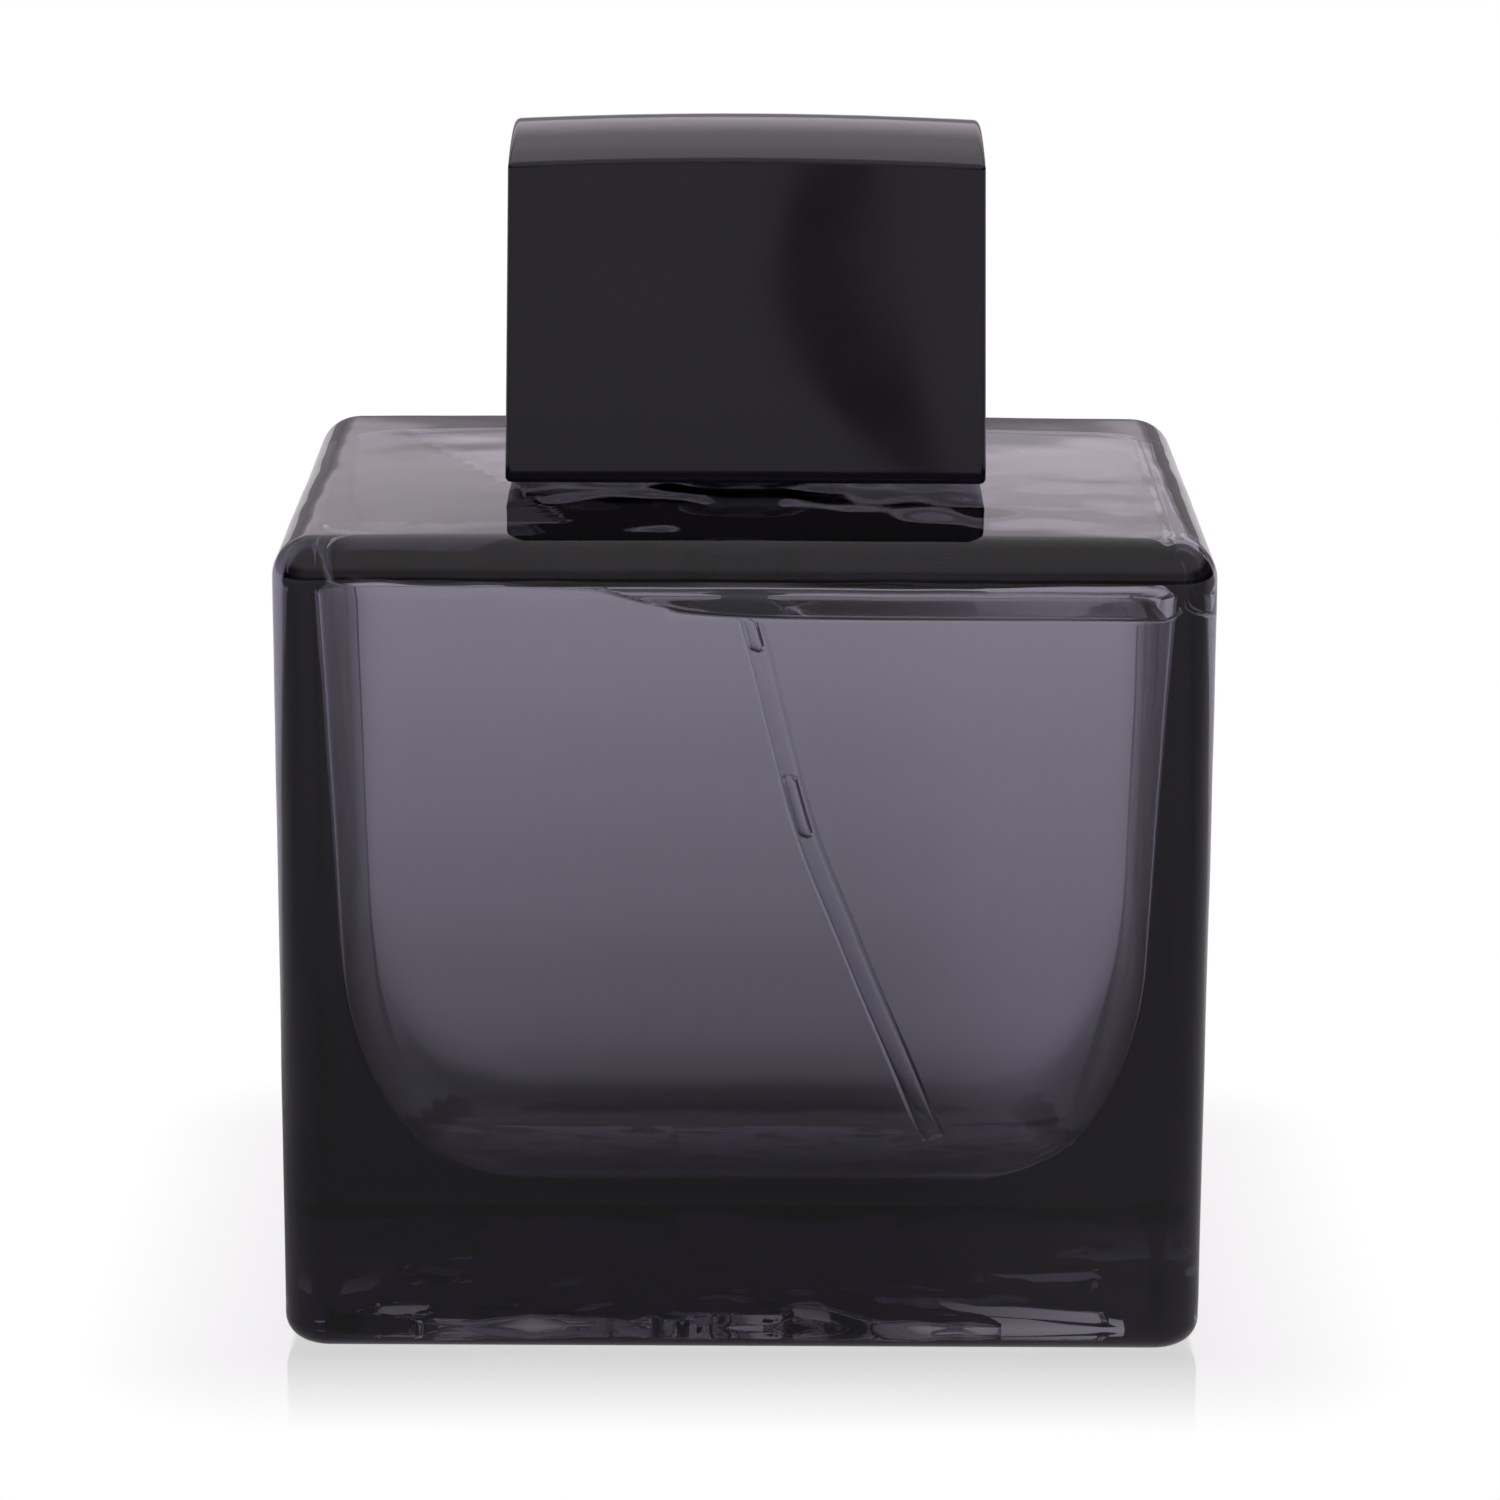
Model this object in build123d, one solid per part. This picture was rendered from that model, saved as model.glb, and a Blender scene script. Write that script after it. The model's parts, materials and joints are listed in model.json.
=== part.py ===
"""A square glass aftershave bottle with a crimped spray pump and a lift-off cap.

Millimetres, +Z up. The origin is the middle of the bottle's base on the table, the bottle's broad
front faces -Y and the spray orifice points to -Y too.
"""

from build123d import *
import os
from math import radians, sin, sqrt, tan

# ---- Glass body -----------------------------------------------------------------------------
BODY_W = 70.0              # across the front, X
BODY_D = 52.3              # front to back, Y
SHOULDER_Z = 63.1          # height of the shoulder at its edges
CROWN = 1.0                # the shoulder swells by this much towards the neck
SIDE_R = 3.2               # rounding of the four upright edges
SHOULDER_R = 3.1           # rounding between the walls and the shoulder
HEEL_R = 2.2               # rounding between the walls and the base
PUSH_UP = 0.9              # how far the middle of the base is raised off the table
BEARING_W = 6.0            # width of the ring that the bottle stands on

# ---- Cavity that holds the lotion ---------------------------------------------------------
FLOOR_Z = 11.0             # top of the thick glass base
KNEE_Z = 29.0              # below this height the side walls sweep in towards the floor
KNEE_W = 61.4              # the cavity at that height
KNEE_D = 38.6
SIDE_REACH = 10.5          # how far each side wall sweeps in, as a quarter of an ellipse
TOE_Z = 17.5               # below this height the front and back walls sweep in
TOE_REACH = 6.0
CAVITY_DRAFT = 3.0         # degrees that each wall leans outwards
CAVITY_CORNER_R = 3.0      # upright corners of the cavity
CEILING_Z = 59.2           # underside of the shoulder at its edges
CEILING_CROWN = 1.0
CEILING_R = 1.1
FILL_Z = 56.8              # level of the lotion

# ---- Neck finish, for a 15 mm crimped pump -------------------------------------------------
BORE_R = 4.7
NECK_R = 6.6
BEAD_R = 7.3
BEAD_BOTTOM = 69.3
NECK_TOP = 72.5
NECK_ROOT_R = 0.8

# ---- Pump -------------------------------------------------------------------------------------
STROKE = 3.3               # travel of the piston
RUNNING = 0.05             # radial clearance of parts that slide or turn in each other
GASKET_T = 0.8
FLANGE_T = 1.0
SHEET = 0.35               # thickness of the ferrule's aluminium
HOUSING_R = 4.1
BARREL_R = 2.55            # bore that the piston runs in
TURRET_R = 3.3
BARREL_FLOOR = 60.6
HOUSING_CONE_TOP = 59.7
TAIL_TOP = 57.7
TAIL_BOTTOM = 55.7
TAIL_R = 1.85
BALL_R = 1.0
BALL_CHAMBER_R = 1.3
BALL_LIFT = 0.5
PISTON_H = 2.6
STEM_R = 1.6
STEM_BORE_R = 1.1
INLET_R = 0.5              # fine passages through the valve seats and the stem's foot
PIN_R = 0.8
PIN_LIFT = 0.5
GASKET_Z = NECK_TOP
FLANGE_Z = GASKET_Z + GASKET_T
PLATE_Z = FLANGE_Z + FLANGE_T          # underside of the ferrule's top plate
PLATE_TOP = PLATE_Z + SHEET

# ---- Dip tube ---------------------------------------------------------------------------------
DIP_R = 1.0
DIP_BORE_R = 0.65
DIP_TOP = 57.8
DIP_LEAN = -15.0           # direction in plan that it leans in, degrees from +X
DIP_ROUTE = [(0, DIP_TOP), (0, 54.5), (4.75, 36.4), (15.5, FLOOR_Z + 0.8)]   # (distance out, z)
DIP_BENDS = [8.0, 60.0]    # radius at each corner of the route

# ---- Collar, actuator and nozzle ------------------------------------------------------------
FERRULE_R = 7.7
COLLAR_R = 8.2
COLLAR_BOTTOM = 64.7
ACTUATOR_R = 6.1
ACTUATOR_GAP = 0.4         # between the actuator and the collar's rim
ACTUATOR_BOTTOM = PLATE_TOP + STROKE + 0.25
ACTUATOR_TOP = 82.9
COLLAR_TOP = ACTUATOR_BOTTOM + 0.6
STEM_TOP = 80.5
NOZZLE_Z = 81.2
NOZZLE_R = 1.5
NOZZLE_L = 2.0
NOZZLE_RECESS = 0.25       # how far the insert sits back from the actuator's side
ORIFICE_R = 0.2

# ---- Cap ----------------------------------------------------------------------------------------
CAP_W = 36.6               # at its open end
CAP_D = 21.2
CAP_BOTTOM = 64.5
CAP_CREST = 91.1
CAP_DRAFT = 0.82           # degrees that each side leans inwards
CAP_WALL = 1.4
CAP_ROOF = 1.5
ARCH_R = 28.6              # the top is arched from front to back
ARCH_LONG_R = 368.0        # and very slightly from side to side
CAP_EDGE_R = 0.45
SOCKET_R = COLLAR_R + RUNNING
SOCKET_WALL = 0.55
SOCKET_CEILING = 87.3
LINER_PLATE_Z = 65.3
LINER_PLATE_T = 1.1


def turned(*points):
    """Solid of revolution about the Z axis from its (radius, height) outline."""
    return revolve(Plane.XZ * make_face(Polyline(*points, close=True)), Axis.Z)


def ring(outer_r, inner_r, bottom, top):
    return turned((inner_r, bottom), (outer_r, bottom), (outer_r, top), (inner_r, top))


def disc(radius, bottom, top):
    return ring(radius, 0, bottom, top)


def curved_sheet(width, depth, height_at):
    """Smooth sheet over a rectangle, through the heights that height_at(x, y) gives."""
    steps = 8
    grid = []
    for i in range(steps + 1):
        x = width * (i / steps - 0.5)
        row = [depth * (j / steps - 0.5) for j in range(steps + 1)]
        grid.append([Vector(x, y, height_at(x, y)) for y in row])
    return Face.make_surface_from_array_of_points(grid)


def pillow(width, depth, edge_z, rise):
    """Sheet that is level along the sides of a rectangle and swells by rise in the middle."""
    def height_at(x, y):
        return edge_z + rise * (1 - (2 * x / width) ** 2) * (1 - (2 * y / depth) ** 2)
    return curved_sheet(1.2 * width, 1.2 * depth, height_at)


def below(solid, sheet):
    return split(solid, bisect_by=sheet, keep=Keep.BOTTOM)


def top_edges(solid):
    return solid.faces().sort_by(Axis.Z)[-1].edges()


def bottom_edges(solid):
    return solid.faces().sort_by(Axis.Z)[0].edges()


def coil_spring(mean_r, wire_r, bottom, top, turns):
    """Compression spring with both ends ground flat."""
    path = Helix((top - bottom) / turns, top - bottom, mean_r)
    wire = sweep(Plane(path @ 0, z_dir=path % 0) * Circle(wire_r), path, is_frenet=True)
    return (Pos(0, 0, bottom) * wire) & disc(mean_r + 2 * wire_r, bottom, top)


# ---- Bottle --------------------------------------------------------------------------------------

def swept_in(z, top, reach):
    """How far a wall has swept in at height z, below top, as a quarter of an ellipse."""
    drop = max(top - z, 0) / (top - FLOOR_Z)
    return reach * (1 - sqrt(max(1 - drop ** 2, 0)))


def cavity_plan(z):
    """Outline of the cavity at a height below the knee."""
    lean = (KNEE_Z - z) * tan(radians(CAVITY_DRAFT))
    side, toe = swept_in(z, KNEE_Z, SIDE_REACH), swept_in(z, TOE_Z, TOE_REACH)
    corner_r = CAVITY_CORNER_R + 0.25 * side
    return Pos(0, 0, z) * RectangleRounded(KNEE_W - 2 * (lean + side), KNEE_D - 2 * (lean + toe), corner_r)


def cavity():
    """The hollow below the neck: leaning walls that sweep into the floor, and a domed ceiling."""
    walls = extrude(cavity_plan(KNEE_Z), CEILING_Z + 2 * CEILING_CROWN - KNEE_Z, taper=-CAVITY_DRAFT)
    spread = 2 * (CEILING_Z - KNEE_Z) * tan(radians(CAVITY_DRAFT))
    walls = below(walls, pillow(KNEE_W + spread, KNEE_D + spread, CEILING_Z, CEILING_CROWN))
    walls = fillet(top_edges(walls), CEILING_R)
    heights = [KNEE_Z - (KNEE_Z - FLOOR_Z) * sin(radians(9 * step)) for step in range(11)]
    return walls + loft([cavity_plan(z) for z in heights])


def glass_bottle():
    body = extrude(RectangleRounded(BODY_W, BODY_D, SIDE_R), SHOULDER_Z + 2 * CROWN)
    body = below(body, pillow(BODY_W, BODY_D, SHOULDER_Z, CROWN))
    body = fillet(top_edges(body), SHOULDER_R)
    body = fillet(bottom_edges(body), HEEL_R)
    inner_w, inner_d = BODY_W - 2 * BEARING_W, BODY_D - 2 * BEARING_W
    push_up = extrude(RectangleRounded(inner_w, inner_d, 2 * SIDE_R), PUSH_UP, taper=40)
    root = SHOULDER_Z + CROWN
    neck = turned((0, root - 2), (NECK_R + NECK_ROOT_R, root - 2), (NECK_R + NECK_ROOT_R, root),
                  (NECK_R, root + NECK_ROOT_R), (NECK_R, BEAD_BOTTOM - 0.4), (BEAD_R, BEAD_BOTTOM),
                  (BEAD_R, NECK_TOP - 0.5), (BEAD_R - 0.5, NECK_TOP), (0, NECK_TOP))
    bore = disc(BORE_R, CEILING_Z - 5, NECK_TOP)
    return body + neck - push_up - cavity() - bore


def aftershave_lotion():
    level = cavity() & Pos(0, 0, FILL_Z / 2) * Box(BODY_W, BODY_D, FILL_Z)
    return level - housing_tail() - swept_tube(DIP_R)


# ---- Pump ----------------------------------------------------------------------------------------

def housing_tail():
    return turned((0, TAIL_BOTTOM), (TAIL_R, TAIL_BOTTOM), (TAIL_R, TAIL_TOP),
                  (HOUSING_R, HOUSING_CONE_TOP), (0, HOUSING_CONE_TOP))


SEAT_Z = BARREL_FLOOR - 2.7            # where the inlet seat's cone would come to a point
BALL_Z = SEAT_Z + sqrt(2) * BALL_R + 0.03
STEM_SEAL_Z = FLANGE_Z - 2.6
TURRET_Z = STEM_SEAL_Z + 0.9
COUNTERBORE_Z = STEM_SEAL_Z
STEM_FLANGE_TOP = STEM_SEAL_Z - 0.08
STEM_FLANGE_BOTTOM = STEM_FLANGE_TOP - 0.8
PISTON_TOP = STEM_FLANGE_BOTTOM - 0.05
PISTON_BOTTOM = PISTON_TOP - PISTON_H


def pump_housing():
    """Barrel with the flange that the ferrule holds down, the inlet seat and the tube's socket."""
    barrel = disc(HOUSING_R, HOUSING_CONE_TOP, FLANGE_Z) + housing_tail()
    flange = disc(BEAD_R - 0.4, FLANGE_Z, PLATE_Z)
    chamber = turned((0, SEAT_Z + INLET_R), (INLET_R, SEAT_Z + INLET_R),
                     (BALL_CHAMBER_R, SEAT_Z + BALL_CHAMBER_R), (BALL_CHAMBER_R, BARREL_FLOOR),
                     (0, BARREL_FLOOR))
    inlet = disc(INLET_R, DIP_TOP, SEAT_Z + INLET_R)
    socket = disc(DIP_R, TAIL_BOTTOM, DIP_TOP)
    vent = Pos(HOUSING_R, 0, FLANGE_Z - 4) * Rot(0, 90, 0) * Cylinder(0.35, 4)
    return (barrel + flange - disc(BARREL_R, BARREL_FLOOR, COUNTERBORE_Z)
            - disc(TURRET_R, COUNTERBORE_Z, PLATE_Z) - chamber - inlet - socket - vent)


def inlet_ball():
    return Pos(0, 0, BALL_Z) * Sphere(BALL_R)


def return_spring():
    return coil_spring(2.05, 0.22, BARREL_FLOOR, PISTON_BOTTOM, 6)


def piston():
    """Plunger with a sealing lip at each end, waisted between them, bored for the stem."""
    lip_r, waist_r, lip_h = BARREL_R - RUNNING, BARREL_R - 0.35, 0.8
    hole_r = STEM_R + RUNNING
    return turned((hole_r, PISTON_BOTTOM), (lip_r, PISTON_BOTTOM), (lip_r, PISTON_BOTTOM + lip_h),
                  (waist_r, PISTON_BOTTOM + 1.1), (waist_r, PISTON_TOP - 1.1),
                  (lip_r, PISTON_TOP - lip_h), (lip_r, PISTON_TOP), (hole_r, PISTON_TOP))


PIN_SEAT_Z = STEM_SEAL_Z + 1.0         # where the outlet seat's cone would come to a point
PIN_BOTTOM = PIN_SEAT_Z + INLET_R + 0.04
PIN_TOP = PIN_BOTTOM + 4.6


def stem():
    """Hollow stem: foot below the piston, thrust flange above it, and the outlet valve's seat."""
    foot = PISTON_BOTTOM - 0.3
    flange_r = STEM_R + 0.55
    solid = turned((INLET_R, foot), (STEM_R, foot), (STEM_R, STEM_FLANGE_BOTTOM),
                   (flange_r, STEM_FLANGE_BOTTOM), (flange_r, STEM_FLANGE_TOP),
                   (STEM_R, STEM_FLANGE_TOP), (STEM_R, STEM_TOP), (STEM_BORE_R, STEM_TOP),
                   (STEM_BORE_R, PIN_SEAT_Z + STEM_BORE_R), (INLET_R, PIN_SEAT_Z + INLET_R))
    return solid


def outlet_valve_pin():
    """Poppet that closes the stem's seat, with a spigot that centres its spring."""
    shoulder = PIN_TOP - 1.0
    return turned((0, PIN_BOTTOM), (INLET_R - 0.02, PIN_BOTTOM),
                  (PIN_R, PIN_BOTTOM + PIN_R - INLET_R + 0.02), (PIN_R, shoulder),
                  (0.45, shoulder), (0.45, PIN_TOP), (0, PIN_TOP))


def outlet_spring():
    return coil_spring(0.7, 0.12, PIN_TOP - 1.0, STEM_TOP, 6)


def stem_seal():
    return ring(TURRET_R, STEM_R + RUNNING, STEM_SEAL_Z, TURRET_Z)


def pump_turret():
    """Cover snapped into the housing: it guides the stem and keeps the seal down."""
    return turned((STEM_R + RUNNING, TURRET_Z), (TURRET_R, TURRET_Z), (TURRET_R, PLATE_TOP - 0.3),
                  (TURRET_R - 0.3, PLATE_TOP), (STEM_R + RUNNING, PLATE_TOP))


def neck_gasket():
    return ring(BEAD_R - 0.4, HOUSING_R, GASKET_Z, FLANGE_Z)


def crimp_ferrule():
    """Aluminium cup over the flange and the glass bead, crimped in below the bead."""
    inner = FERRULE_R - SHEET
    crimp_z = BEAD_BOTTOM - 0.9
    return turned((TURRET_R + 0.1, PLATE_Z), (inner, PLATE_Z), (inner, crimp_z + 0.6),
                  (NECK_R + 0.15, crimp_z + 0.35), (NECK_R + 0.15, crimp_z), (FERRULE_R - 0.3, crimp_z),
                  (FERRULE_R, crimp_z + 0.3), (FERRULE_R, PLATE_TOP - 0.4), (FERRULE_R - 0.4, PLATE_TOP),
                  (TURRET_R + 0.1, PLATE_TOP))


def collar():
    """Bright sleeve pushed over the ferrule, with a rim that the actuator sinks into."""
    rim_r = ACTUATOR_R + ACTUATOR_GAP
    solid = turned((FERRULE_R, COLLAR_BOTTOM), (COLLAR_R, COLLAR_BOTTOM), (COLLAR_R, COLLAR_TOP),
                   (rim_r, COLLAR_TOP), (rim_r, PLATE_TOP), (FERRULE_R, PLATE_TOP))
    rim = solid.edges().filter_by(GeomType.CIRCLE).group_by(Axis.Z)[-1]
    return fillet(rim, 0.3)


def dip_route():
    return FilletPolyline(*[(out, 0, z) for out, z in DIP_ROUTE], radius=DIP_BENDS)


def swept_tube(outer_r, inner_r=0.0):
    """The dip tube's route, swept with a round or ring-shaped section."""
    route = dip_route()
    section = Circle(outer_r) - Circle(inner_r) if inner_r else Circle(outer_r)
    return Rot(0, 0, DIP_LEAN) * sweep(Plane(route @ 0, z_dir=route % 0) * section, route)


def dip_tube():
    return swept_tube(DIP_R, DIP_BORE_R)


# ---- Actuator --------------------------------------------------------------------------------------

def nozzle_place():
    """Origin on the actuator's front, with the local Z axis pointing into it."""
    return Plane((0, -ACTUATOR_R, NOZZLE_Z), x_dir=(1, 0, 0), z_dir=(0, 1, 0))


def actuator():
    """Finger button with a dished top, a socket for the stem and a passage to the nozzle."""
    body = disc(ACTUATOR_R, ACTUATOR_BOTTOM, ACTUATOR_TOP)
    body = fillet(body.edges().group_by(Axis.Z)[-1], 0.6)
    dish_r = 16.0
    body -= Pos(0, 0, ACTUATOR_TOP + dish_r - 0.7) * Sphere(dish_r)
    wall = 1.1
    hollow = ring(ACTUATOR_R - wall, STEM_R + 1.2, ACTUATOR_BOTTOM, NOZZLE_Z - NOZZLE_R - 0.9)
    passage = disc(INLET_R, STEM_TOP, NOZZLE_Z)
    across = Cylinder(INLET_R, ACTUATOR_R, align=(Align.CENTER, Align.CENTER, Align.MIN))
    pocket = Cylinder(NOZZLE_R, NOZZLE_L + NOZZLE_RECESS, align=(Align.CENTER, Align.CENTER, Align.MIN))
    return (body - hollow - disc(STEM_R, ACTUATOR_BOTTOM, STEM_TOP) - passage
            - nozzle_place() * across - nozzle_place() * pocket)


def nozzle_insert():
    """Swirl insert pressed into the actuator, with a coned front round its fine orifice."""
    insert = Cylinder(NOZZLE_R, NOZZLE_L, align=(Align.CENTER, Align.CENTER, Align.MIN))
    cone = Cone(0.9, ORIFICE_R, 0.5, align=(Align.CENTER, Align.CENTER, Align.MIN))
    orifice = Cylinder(ORIFICE_R, NOZZLE_L, align=(Align.CENTER, Align.CENTER, Align.MIN))
    chamber = Pos(0, 0, 1.1) * Cylinder(0.8, NOZZLE_L, align=(Align.CENTER, Align.CENTER, Align.MIN))
    return nozzle_place() * (Pos(0, 0, NOZZLE_RECESS) * (insert - cone - orifice - chamber))


# ---- Cap ----------------------------------------------------------------------------------------------

def arched_block(width, depth, bottom, crest):
    """Leaning walls under a top that is arched both ways."""
    block = Pos(0, 0, bottom) * extrude(Rectangle(width, depth), crest + 2 - bottom, taper=CAP_DRAFT)
    def height_at(x, y):
        return crest - y ** 2 / (2 * ARCH_R) - x ** 2 / (2 * ARCH_LONG_R)
    return below(block, curved_sheet(1.2 * width, 1.2 * depth, height_at))


def cap_shell():
    outer = arched_block(CAP_W, CAP_D, CAP_BOTTOM, CAP_CREST)
    outer = fillet(outer.edges(), CAP_EDGE_R)
    inner = arched_block(CAP_W - 2 * CAP_WALL, CAP_D - 2 * CAP_WALL, CAP_BOTTOM, CAP_CREST - CAP_ROOF)
    return outer - inner


def cap_liner():
    """Socket that grips the collar, on a plate that closes the underside of the shell."""
    lean = 2 * (LINER_PLATE_Z + LINER_PLATE_T - CAP_BOTTOM) * tan(radians(CAP_DRAFT))
    plate_w, plate_d = CAP_W - 2 * CAP_WALL - lean, CAP_D - 2 * CAP_WALL - lean
    plate = Pos(0, 0, LINER_PLATE_Z) * extrude(RectangleRounded(plate_w, plate_d, 0.4), LINER_PLATE_T)
    outer_r = SOCKET_R + SOCKET_WALL
    socket = disc(outer_r, LINER_PLATE_Z, SOCKET_CEILING + 0.7)
    gusset_x, gusset_h = plate_w / 2 - 2.0, 14.0
    gusset = Plane.XZ * make_face(Polyline((0, LINER_PLATE_Z), (gusset_x, LINER_PLATE_Z),
                                           (gusset_x, LINER_PLATE_Z + 2), (0, LINER_PLATE_Z + gusset_h),
                                           close=True))
    gusset = extrude(gusset, 0.6, both=True)
    return plate + socket + gusset + mirror(gusset, Plane.YZ) - disc(SOCKET_R, LINER_PLATE_Z, SOCKET_CEILING)


# ---- Assembly -----------------------------------------------------------------------------------------

NODES = [
    glass_bottle, aftershave_lotion, neck_gasket, crimp_ferrule, collar,
    pump_housing, inlet_ball, return_spring, piston, stem, outlet_valve_pin, outlet_spring,
    stem_seal, pump_turret, dip_tube, actuator, nozzle_insert, cap_shell, cap_liner,
]

os.makedirs("parts", exist_ok=True)
for make in NODES:
    export_step(make(), f"parts/{make.__name__}.step")

print("dip tube", round(dip_route().length, 1), "mm long, bends of", DIP_BENDS, "mm radius")
print("cavity", round(cavity().volume / 1000, 1), "ml, lotion", round(aftershave_lotion().volume / 1000, 1), "ml")
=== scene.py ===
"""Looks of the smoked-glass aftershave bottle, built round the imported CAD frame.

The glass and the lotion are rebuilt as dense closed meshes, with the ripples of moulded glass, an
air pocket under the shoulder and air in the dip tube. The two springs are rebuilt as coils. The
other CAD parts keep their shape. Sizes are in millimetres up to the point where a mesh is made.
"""
import json
import math
import bpy
import numpy as np
from mathutils import Matrix, Vector, noise


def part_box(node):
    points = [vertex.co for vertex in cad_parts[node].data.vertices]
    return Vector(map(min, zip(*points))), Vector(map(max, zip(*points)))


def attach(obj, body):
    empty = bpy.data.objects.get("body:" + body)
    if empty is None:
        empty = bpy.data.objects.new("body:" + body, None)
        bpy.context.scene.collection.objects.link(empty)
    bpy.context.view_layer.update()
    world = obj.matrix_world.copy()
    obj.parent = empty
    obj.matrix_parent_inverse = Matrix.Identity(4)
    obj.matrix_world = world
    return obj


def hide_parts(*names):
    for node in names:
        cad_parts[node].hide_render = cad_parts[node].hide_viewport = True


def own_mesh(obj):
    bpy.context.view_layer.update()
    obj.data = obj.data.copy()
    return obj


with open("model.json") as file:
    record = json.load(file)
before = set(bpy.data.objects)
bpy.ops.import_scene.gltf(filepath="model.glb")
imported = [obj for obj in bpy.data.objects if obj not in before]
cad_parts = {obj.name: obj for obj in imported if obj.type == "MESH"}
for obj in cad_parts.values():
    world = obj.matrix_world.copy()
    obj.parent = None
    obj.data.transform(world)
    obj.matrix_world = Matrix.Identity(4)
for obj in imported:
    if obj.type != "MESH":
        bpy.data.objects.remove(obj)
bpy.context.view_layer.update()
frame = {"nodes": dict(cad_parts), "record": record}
MM = 0.001


def node_box(name):
    """Lowest and highest corner of a CAD node, in millimetres."""
    return [np.array(corner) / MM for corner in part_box(name)]


# ---- Outside of the glass ----------------------------------------------------------------------
HALF_W, HALF_D, NECK_TOP = node_box("glass_bottle")[1]
SHOULDER_Z, CROWN = 63.1, 1.0           # the shoulder's edge, and how far it rises to the neck
SIDE_R, SHOULDER_R, HEEL_R = 3.2, 3.1, 2.2
SHOULDER_TIGHTER = 0.9                  # how fast the plan's corners tighten over the shoulder
HEEL_EASE = 0.6                         # extra roundness of the foot's corners
BEARING_W, PUSH_UP = 4.2, 0.9           # the flat ring that it stands on, and the recess inside
RECESS_SLOPE_W, RECESS_R, RECESS_TOP_R = 0.5, 5.0, 4.6
NECK_R, NECK_ROOT_R, BEAD_R, BEAD_Z = 6.6, 0.8, 7.3, 69.3
BEAD_EDGE_R, RIM_R, MOUTH_R = 0.4, 0.5, 0.4

# ---- Cavity ------------------------------------------------------------------------------------
FLOOR_Z = node_box("aftershave_lotion")[0][2]
KNEE_Z, KNEE_HALF_W, KNEE_HALF_D = 29.0, 30.7, 19.3     # where the side walls start to curve in
DRAFT = math.tan(math.radians(3.0))
SIDE_REACH = 10.5                       # how far the sides have curved in at the floor
TOE_Z, TOE_REACH = 17.5, 6.0            # the same for the front and the back
SWEPT_CORNER = 0.25                     # how fast the corners widen as the sides curve in
CAVITY_CORNER_R, TIGHTER_RIGHT = 3.0, 1.1
CEILING_Z, CEILING_CROWN, CEILING_R = 59.2, 0.2, 1.1
BORE_R, BORE_FOOT_R, BORE_FOOT = 4.7, 5.1, 0.6

# ---- Moulding marks: reach of the noise along the normal, and size of its features -------------
RIPPLE_SIZE, SWAY_SIZE, SWAY_SHARE = 5.0, 16.0, 1.2
RECESS_RIPPLE, RING_RIPPLE, WALL_RIPPLE, CEILING_RIPPLE = 0.35, 0.1, 0.03, 0.06
STIPPLE, STIPPLE_SIZE = 0.3, 2.2
WAVER, WAVER_MOST = 0.12, 0.42          # share by which the recess's edge is drawn in
WAVER_WIDE, WAVER_FINE = (0.5, 7.0), (0.1, 3.0)
RIPPLE_SEED, SWAY_SEED, WIDE_SEED, FINE_SEED, STIPPLE_SEED = 1, 2, 3, 4, 5
SEED_SHIFT = np.array([17.3, 5.1, 9.7])         # how far each seed moves the noise

# ---- Air inside --------------------------------------------------------------------------------
LEVEL = 56.45                           # lotion under the air pocket
POCKET_X, POCKET_SLANT = -13.2, 0.42    # the pocket's left end at the front, and its slant
CLING, CLING_FADE = 4.2, 4.5            # lotion drawn up where the pocket ends
MENISCUS, MENISCUS_FADE = 0.45, 0.9
AIR_FILM, FILM_W, FILM_END = 0.14, 4.5, 2.0     # thin air under the ceiling along the front
SWELL = 0.06                            # the lotion reaches this far into the glass
DIP_ROUTE = [(0, 57.8), (0, 54.5), (4.75, 36.4), (15.5, FLOOR_Z + 0.8)]     # (sideways, height)
DIP_BENDS = [1.03, 4.67]                # length of the route rounded off each side of a bend
DIP_LEAN = math.radians(-15.0)          # how far its plane is turned from the front
AIR_R = 0.62
AIR_SLUGS = [(56.0, 50.5), (41.1, 35.9)]
SLUG_SQUARENESS, SLUG_TIP = 16, 0.0009  # how blunt the ends of the air are

# ---- Mesh density ------------------------------------------------------------------------------
LONG, SHORT, CORNER = 94, 64, 10
RECESS_ROWS, SLOPE_STEPS, RING_STEPS, HEEL_STEPS = 34, 5, 8, 8
WALL_STEPS, SHOULDER_STEPS, TOP_STEPS = 29, 18, 26
CEILING_STEPS, CEILING_EDGE_STEPS, CAVITY_WALL_ROWS, SWEEP_STEPS, FLOOR_STEPS = 26, 14, 24, 30, 25
CAVITY_WALL_GAP = 0.4                   # from the ceiling's rounded edge to the first wall row
STILL_LOOPS = 3                         # loops at the foot of the bore that aren't rippled
POLE_SHARE = 0.04                       # size of the last loop before a pole
LOTION_POLE_SHARES = (0.05, 0.35, 0.7)  # the same for the lotion, across the foot of the bore
SLUG_ROWS, SLUG_SIDES = 21, 24
COIL_STEPS, WIRE_SIDES = 36, 10         # steps in a turn, and points round the wire


# ---- Closed loops and the surfaces between them ------------------------------------------------

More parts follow.
